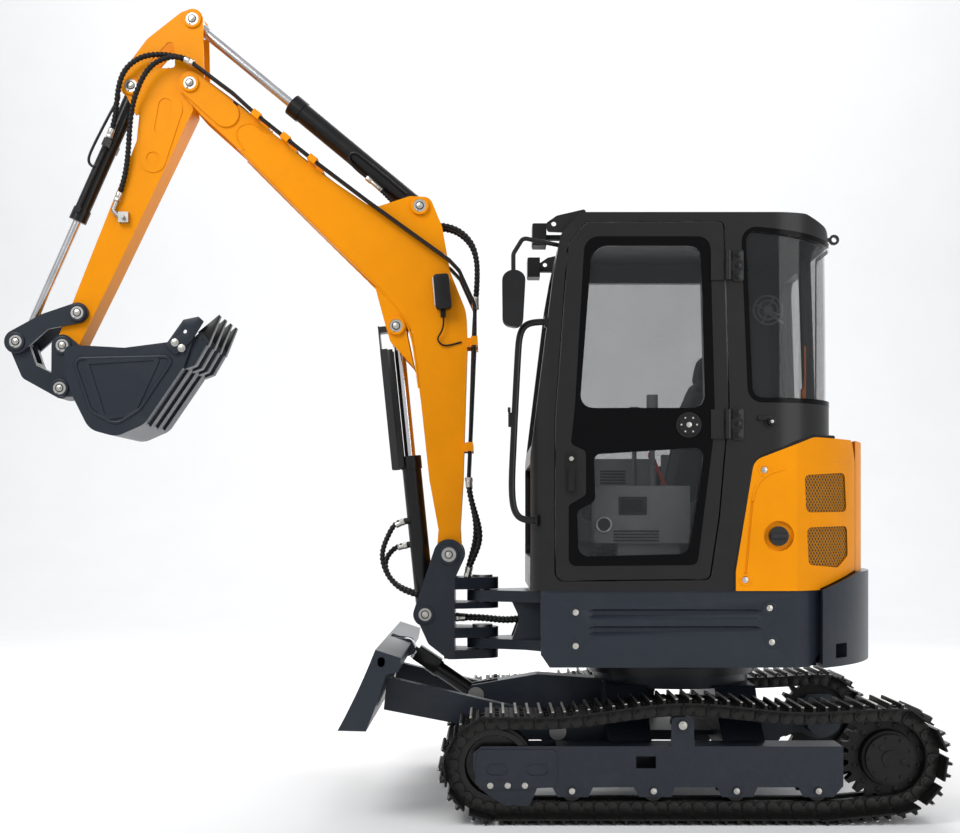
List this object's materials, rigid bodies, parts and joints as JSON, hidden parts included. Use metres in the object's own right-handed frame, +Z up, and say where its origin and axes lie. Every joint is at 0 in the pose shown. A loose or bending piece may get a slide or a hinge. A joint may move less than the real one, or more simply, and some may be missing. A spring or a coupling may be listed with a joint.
{
  "type": "mini excavator",
  "caption": "small tracked digger with closed cab, swinging boom, two-piece digging arm, toothed bucket and dozer blade, shown parked with the bucket curled",
  "frame": {"origin": "on the ground under the slew axis, tracks standing on Z = 0", "axes": "+X forwards, +Y to the machine's left, +Z up"},
  "size_m": [4.1037, 1.616, 3.5895],
  "materials": {
    "yellow_paint": "gloss",
    "dark_paint": "satin",
    "cab_paint": "satin",
    "black_paint": "satin",
    "track_steel": "worn",
    "cast_weight": "satin",
    "pin_steel": "satin",
    "chrome_rod": "polished",
    "glass": "clear",
    "black_plastic": "matte",
    "seat_fabric": "woven",
    "engine_iron": "matte",
    "hose_rubber": "matte",
    "lamp_plastic": "gloss"
  },
  "bodies": {
    "undercarriage": {"track_left": "track_steel", "track_right": "track_steel", "track_frames": "dark_paint", "sprockets": "track_steel", "idlers": "black_paint", "track_rollers": "black_paint", "travel_motors": "dark_paint", "car_body": "dark_paint", "slew_ring_fixed": "pin_steel", "blade_pins": "pin_steel"},
    "blade": {"blade": "dark_paint"},
    "blade_cylinder": {"blade_barrel": "black_paint"},
    "blade_piston": {"blade_rod": "chrome_rod"},
    "upper": {"slew_ring_turning": "pin_steel", "upper_frame": "dark_paint", "side_skirts": "dark_paint", "counterweight": "cast_weight", "left_panel": "yellow_paint", "rear_hood": "yellow_paint", "right_cover": "yellow_paint", "engine_block": "engine_iron", "cab_roof": "cab_paint", "cab_left_wall": "cab_paint", "cab_right_wall": "cab_paint", "cab_front": "cab_paint", "cab_rear_wall": "cab_paint", "cab_floor": "cab_paint", "cab_glass": "glass", "operator_seat": "seat_fabric", "consoles": "black_plastic", "handrail": "black_paint", "mirror_left": "black_plastic", "cab_lamps": "lamp_plastic", "panel_fittings": "black_paint", "post_hoses": "hose_rubber"},
    "door": {"door": "cab_paint", "door_glass": "glass", "door_fittings": "black_plastic"},
    "swing_post": {"swing_post": "dark_paint", "swing_pins": "pin_steel", "foot_hoses": "hose_rubber", "cylinder_hoses": "hose_rubber"},
    "boom": {"boom": "yellow_paint", "boom_pins": "pin_steel", "boom_fittings": "black_paint", "arm_hoses": "hose_rubber"},
    "boom_cylinder": {"boom_barrel": "black_paint"},
    "boom_piston": {"boom_rod": "chrome_rod"},
    "arm": {"arm": "yellow_paint", "arm_pins": "pin_steel"},
    "arm_cylinder": {"arm_barrel": "black_paint"},
    "arm_piston": {"arm_rod": "chrome_rod"},
    "bucket_cylinder": {"bucket_barrel": "black_paint"},
    "bucket_piston": {"bucket_rod": "chrome_rod"},
    "guide_links": {"guide_links": "dark_paint", "link_pins": "pin_steel"},
    "push_link": {"push_link": "dark_paint"},
    "bucket": {"bucket": "dark_paint", "bucket_teeth": "dark_paint", "bucket_pins": "pin_steel"}
  },
  "joints": [
    {"name": "slew", "type": "hinge", "parent": "undercarriage", "child": "upper", "pos_m": [0, 0, 0.6], "axis": [0, 0, 1], "continuous": true},
    {"name": "boom_swing", "type": "hinge", "parent": "upper", "child": "swing_post", "pos_m": [0.87, 0, 0.8], "axis": [0, 0, -1], "range_deg": [-75, 50], "deforming": ["post_hoses"]},
    {"name": "boom_lift", "type": "hinge", "parent": "swing_post", "child": "boom", "pos_m": [1.022, 0, 1.09], "axis": [0, 1, 0], "range_deg": [-10, 104], "deforming": ["foot_hoses"]},
    {"name": "arm_crowd", "type": "hinge", "parent": "boom", "child": "arm", "pos_m": [2.203, 0, 3.239], "axis": [0, -1, 0], "range_deg": [-15, 95], "deforming": ["arm_hoses"]},
    {"name": "bucket_curl", "type": "hinge", "parent": "arm", "child": "bucket", "pos_m": [2.784, 0, 2.043], "axis": [0, -1, 0], "range_deg": [-20, 165]},
    {"name": "blade_lift", "type": "hinge", "parent": "undercarriage", "child": "blade", "pos_m": [0.54, 0, 0.325], "axis": [0, 1, 0], "range_deg": [0, 46]},
    {"name": "door_hinge", "type": "hinge", "parent": "upper", "child": "door", "pos_m": [-0.14, 0.756, 1.7], "axis": [0, 0, 1], "range_deg": [0, 172]},
    {"name": "boom_cylinder_turn", "type": "hinge", "parent": "swing_post", "child": "boom_cylinder", "pos_m": [1.13, 0, 0.818], "axis": [0, 1, 0], "range_deg": [-10.45, 99.42], "deforming": ["cylinder_hoses"]},
    {"name": "boom_rod_slide", "type": "slide", "parent": "boom_cylinder", "child": "boom_piston", "axis": [0.1007, 0, 0.9949], "range_m": [-0.4539, 0.0478]},
    {"name": "arm_cylinder_turn", "type": "hinge", "parent": "boom", "child": "arm_cylinder", "pos_m": [1.155, 0, 2.68], "axis": [0, -1, 0], "range_deg": [-1.92, 0.32]},
    {"name": "arm_rod_slide", "type": "slide", "parent": "arm_cylinder", "child": "arm_piston", "axis": [0.7716, 0, 0.6361], "range_m": [-0.43667, 0.07267]},
    {"name": "guide_link_turn", "type": "hinge", "parent": "arm", "child": "guide_links", "pos_m": [2.716, 0, 2.192], "axis": [0, -1, 0], "range_deg": [-15.4, 118.53]},
    {"name": "push_link_turn", "type": "hinge", "parent": "guide_links", "child": "push_link", "pos_m": [2.997, 0, 2.061], "axis": [0, -1, 0], "range_deg": [-50.4, 6.55]},
    {"name": "bucket_cylinder_turn", "type": "hinge", "parent": "arm", "child": "bucket_cylinder", "pos_m": [2.477, 0, 3.233], "axis": [0, -1, 0], "range_deg": [-1.67, 0.22]},
    {"name": "bucket_rod_slide", "type": "slide", "parent": "bucket_cylinder", "child": "bucket_piston", "axis": [0.4056, 0, -0.9141], "range_m": [-0.52505, 0.0683]},
    {"name": "blade_cylinder_turn", "type": "hinge", "parent": "undercarriage", "child": "blade_cylinder", "pos_m": [0.9, 0, 0.444], "axis": [0, 1, 0], "range_deg": [-0.83, 83.63]},
    {"name": "blade_rod_slide", "type": "slide", "parent": "blade_cylinder", "child": "blade_piston", "axis": [0.8305, 0, 0.5571], "range_m": [-0.00097, 0.08837]}
  ],
  "couplings": [
    {"joint": "boom_cylinder_turn", "follows": "boom_lift", "ratio": 0.94645},
    {"joint": "boom_rod_slide", "follows": "boom_lift", "m_per_rad": -0.24753},
    {"joint": "arm_cylinder_turn", "follows": "arm_crowd", "ratio": -0.02},
    {"joint": "arm_rod_slide", "follows": "arm_crowd", "m_per_rad": -0.2607},
    {"joint": "guide_link_turn", "follows": "bucket_curl", "ratio": 0.71124},
    {"joint": "push_link_turn", "follows": "bucket_curl", "ratio": -0.30244},
    {"joint": "bucket_cylinder_turn", "follows": "bucket_curl", "ratio": -0.01},
    {"joint": "bucket_rod_slide", "follows": "bucket_curl", "m_per_rad": -0.18048},
    {"joint": "blade_cylinder_turn", "follows": "blade_lift", "ratio": 1.8},
    {"joint": "blade_rod_slide", "follows": "blade_lift", "m_per_rad": 0.10886}
  ]
}
